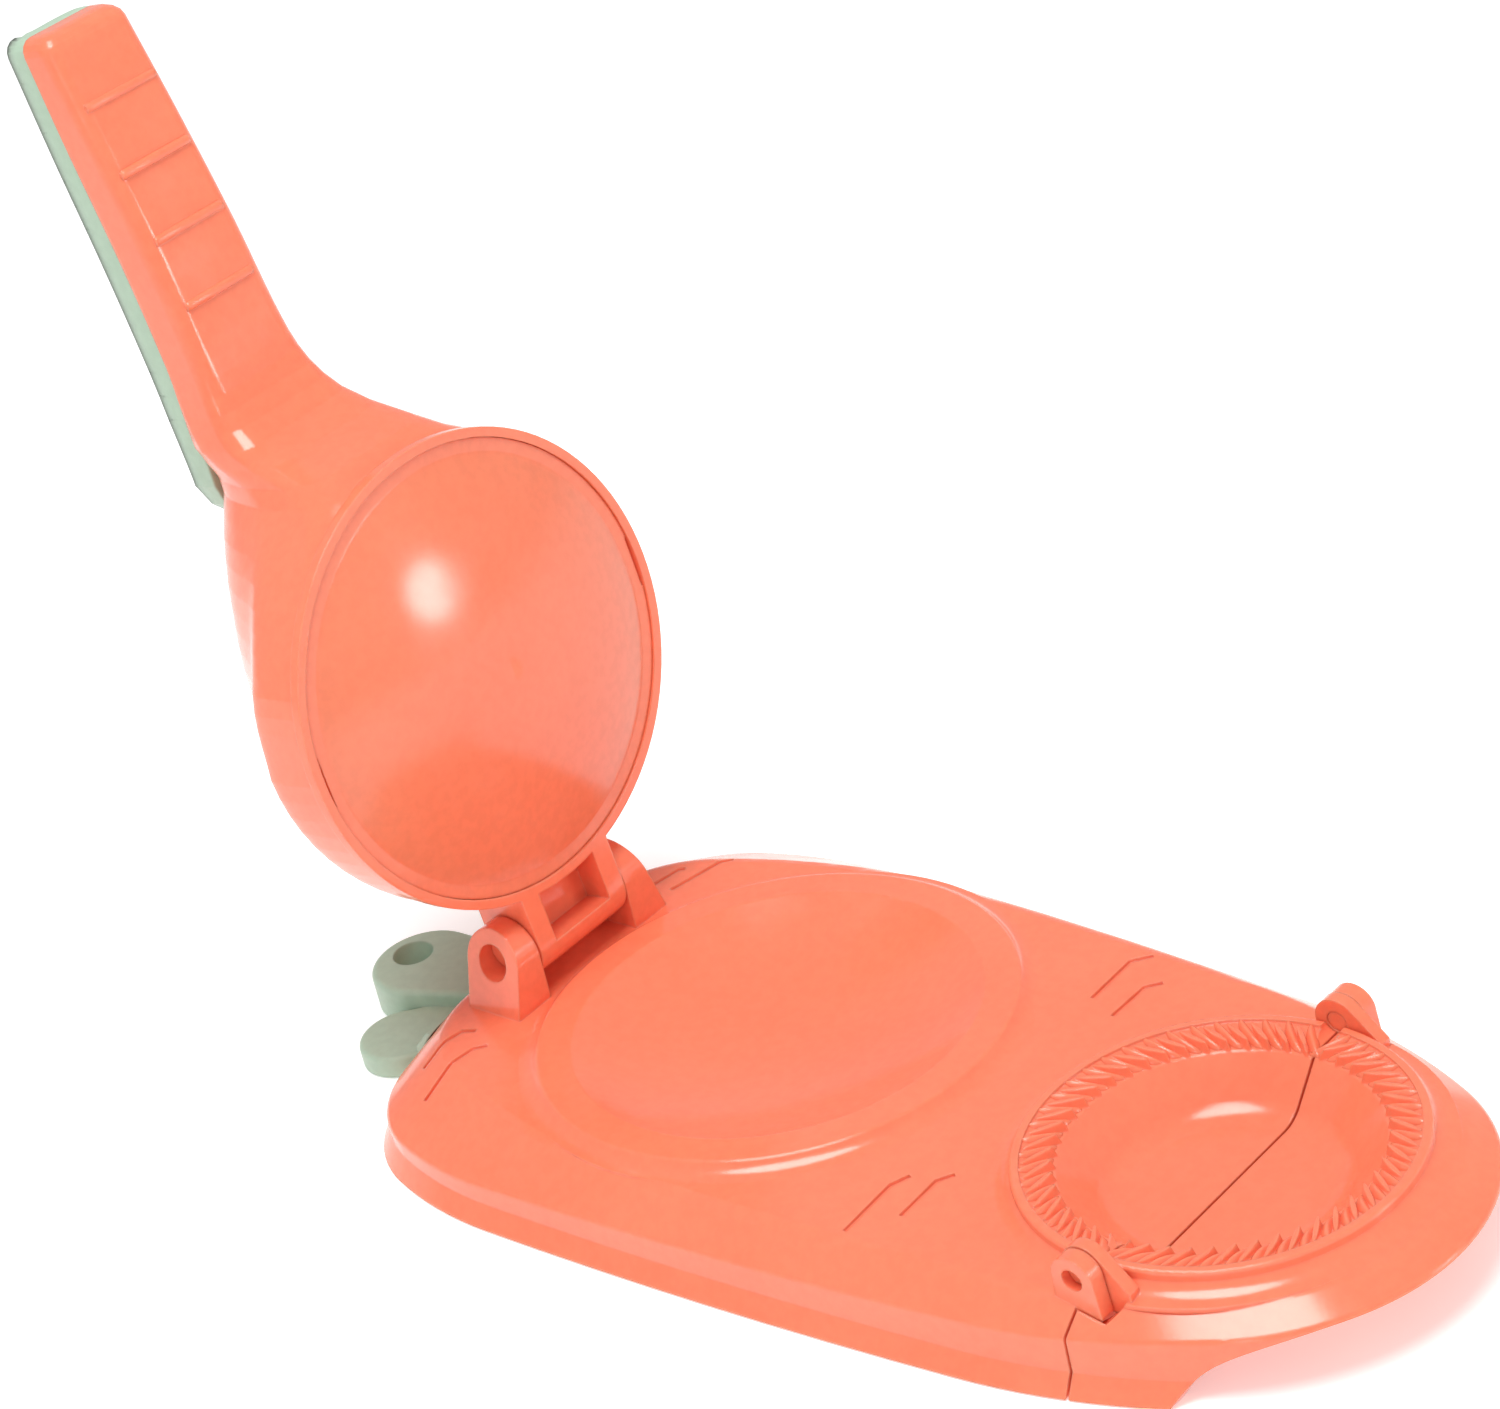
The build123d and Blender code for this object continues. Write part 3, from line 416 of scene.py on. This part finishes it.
# The flap's teeth mirror those of the base
grown("rear_fluting", FLUTING, {**tooth, "Start Angle": math.pi / 2,
                                "Slant": TOOTH_SLANT, "Bend": -TOOTH_BEND}, "base", mould)
grown("front_fluting", FLUTING, {**tooth, "Start Angle": -math.pi / 2,
                                 "Slant": -TOOTH_SLANT, "Bend": TOOTH_BEND}, "flap", mould)

# Columns of the lever's frame: along the handle, across it, towards the dish
lever_frame = Matrix((
    (UP.x, 0, FACING.x, LEVER_AXIS.x + FACING.x * SEAM_AHEAD),
    (UP.y, 1, FACING.y, 0),
    (UP.z, 0, FACING.z, LEVER_AXIS.z + FACING.z * SEAM_AHEAD),
    (0, 0, 0, 1),
))
grown("grip_ribs", rib_tree(), {
    "Ribs": 4, "First": 154 * MM, "Pitch": 15.33 * MM, "Half Length": 10.2 * MM,
    "Radius": 1.15 * MM, "Rise": -0.35 * MM, "Material": coral,
}, "lever", lever_frame)


# Studio


MIDDLE = Vector((0.03, 0, 0.05))
FLOOR_REACH = 8.0
FLOOR_GAP = 0.4 * MM     # keeps the floor off the foot of the press
FLOOR_GLOW = 0.30


def studio_floor():
    """A pale floor that runs out of sight."""
    mesh = bpy.data.meshes.new("studio_floor")
    corners = [(FLOOR_REACH * x, FLOOR_REACH * y, 0)
               for x, y in ((-1, -1), (1, -1), (1, 1), (-1, 1))]
    mesh.from_pydata(corners, [], [(0, 1, 2, 3)])
    piece = bpy.data.objects.new("studio_floor", mesh)
    bpy.context.scene.collection.objects.link(piece)
    piece.location.z = -FLOOR_GAP
    paper = bpy.data.materials.new("white paper")
    paper.use_nodes = True
    graph = Graph(paper.node_tree)
    shader = paper.node_tree.nodes["Principled BSDF"]
    place = graph.node("ShaderNodeTexCoord").outputs["Object"]
    tone = graph.spread(graph.noise(place, 40.0, 4.0), 0.3, 0.7, 0.93, 0.96)
    graph.link(tone, shader.inputs["Base Color"])
    shader.inputs["Roughness"].default_value = 0.8
    shader.inputs["Specular IOR Level"].default_value = 0.1
    shader.inputs["Emission Color"].default_value = (1, 1, 1, 1)
    shader.inputs["Emission Strength"].default_value = FLOOR_GLOW
    mesh.materials.append(paper)


def lamp(name, place, size, power):
    """A soft round light that looks at the middle of the press."""
    data = bpy.data.lights.new(name, "AREA")
    data.shape = "DISK"
    data.size = size
    data.energy = power
    made = bpy.data.objects.new(name, data)
    bpy.context.scene.collection.objects.link(made)
    made.location = place
    made.rotation_mode = "QUATERNION"
    made.rotation_quaternion = (MIDDLE - Vector(place)).to_track_quat("-Z", "Y")


studio_floor()
# Its mirror image is the round highlight on the dome
lamp("round_box", MIDDLE + Vector((0.887, 0.434, 0.20)) * 1.5, size=0.34, power=3.4)
lamp("overhead", (0.12, -0.3, 1.6), size=0.9, power=20)
lamp("strip_front", (0.75, -1.5, 0.75), size=0.35, power=2.4)

world = bpy.data.worlds.new("studio")
world.use_nodes = True
background = world.node_tree.nodes["Background"]
background.inputs["Color"].default_value = (1, 1, 1, 1)
background.inputs["Strength"].default_value = 0.52
bpy.context.scene.world = world
bpy.context.scene.view_settings.view_transform = "Standard"

# Camera

AZIMUTH, ELEVATION, ROLL = (math.radians(v) for v in (46.80, 28.86, -13.36))
EYE = Vector((551.4, -504.6, 507.0)) * MM
forward = Vector((-math.sin(AZIMUTH) * math.cos(ELEVATION),
                  math.cos(AZIMUTH) * math.cos(ELEVATION), -math.sin(ELEVATION)))
level = Vector((math.cos(AZIMUTH), math.sin(AZIMUTH), 0))
above = level.cross(forward)
right = math.cos(ROLL) * level + math.sin(ROLL) * above
top = math.cos(ROLL) * above - math.sin(ROLL) * level

lens = bpy.data.cameras.new("camera")
lens.sensor_width = 36
lens.lens = 99.456
lens.clip_start, lens.clip_end = 0.05, 30
camera = bpy.data.objects.new("camera", lens)
bpy.context.scene.collection.objects.link(camera)
camera.matrix_world = Matrix((
    (right.x, top.x, -forward.x, EYE.x),
    (right.y, top.y, -forward.y, EYE.y),
    (right.z, top.z, -forward.z, EYE.z),
    (0, 0, 0, 1),
))
bpy.context.scene.camera = camera
